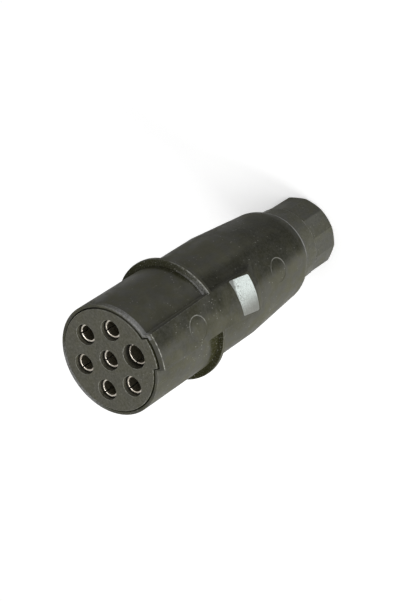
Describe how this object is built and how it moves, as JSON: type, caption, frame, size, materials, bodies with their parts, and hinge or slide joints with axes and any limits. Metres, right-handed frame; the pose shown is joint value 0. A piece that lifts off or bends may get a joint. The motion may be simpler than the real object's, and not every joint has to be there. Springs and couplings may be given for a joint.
{
  "type": "trailer plug",
  "caption": "Round keyed plug for a trailer's electrical lead, with split tubular contacts in a separate insert, a stop rib, a tapered body and a gland nut.",
  "frame": {"origin": "centre of the gland nut's flat end, on which the plug stands", "axes": "+Z along the plug's axis, from the nut up to the contact face; -Y towards the guide key"},
  "size_m": [0.0426, 0.0426, 0.1112],
  "materials": {
    "housing_plastic": "black moulded plastic, satin, with ejector marks",
    "insert_plastic": "dark grey moulded plastic, satin",
    "nut_plastic": "dark grey moulded plastic, slightly smoother than the body",
    "contact_plating": "nickel-plated brass, turned",
    "screw_steel": "zinc-plated steel",
    "ring_metal": "plain aluminium",
    "grommet_rubber": "black rubber, matt",
    "foil": "bare silvery foil with a fine speckle"
  },
  "bodies": {
    "root": {"housing": "housing_plastic", "contact_insert": "insert_plastic", "contact_1": "contact_plating", "contact_2": "contact_plating", "contact_3": "contact_plating", "contact_4": "contact_plating", "contact_5": "contact_plating", "contact_6": "contact_plating", "contact_7": "contact_plating", "terminal_screw_1": "screw_steel", "terminal_screw_2": "screw_steel", "terminal_screw_3": "screw_steel", "terminal_screw_4": "screw_steel", "terminal_screw_5": "screw_steel", "terminal_screw_6": "screw_steel", "terminal_screw_7": "screw_steel", "insert_screw": "screw_steel", "foil_label": "foil", "cable_grommet": "grommet_rubber", "slip_ring": "ring_metal", "gland_nut": "nut_plastic"}
  },
  "joints": []
}
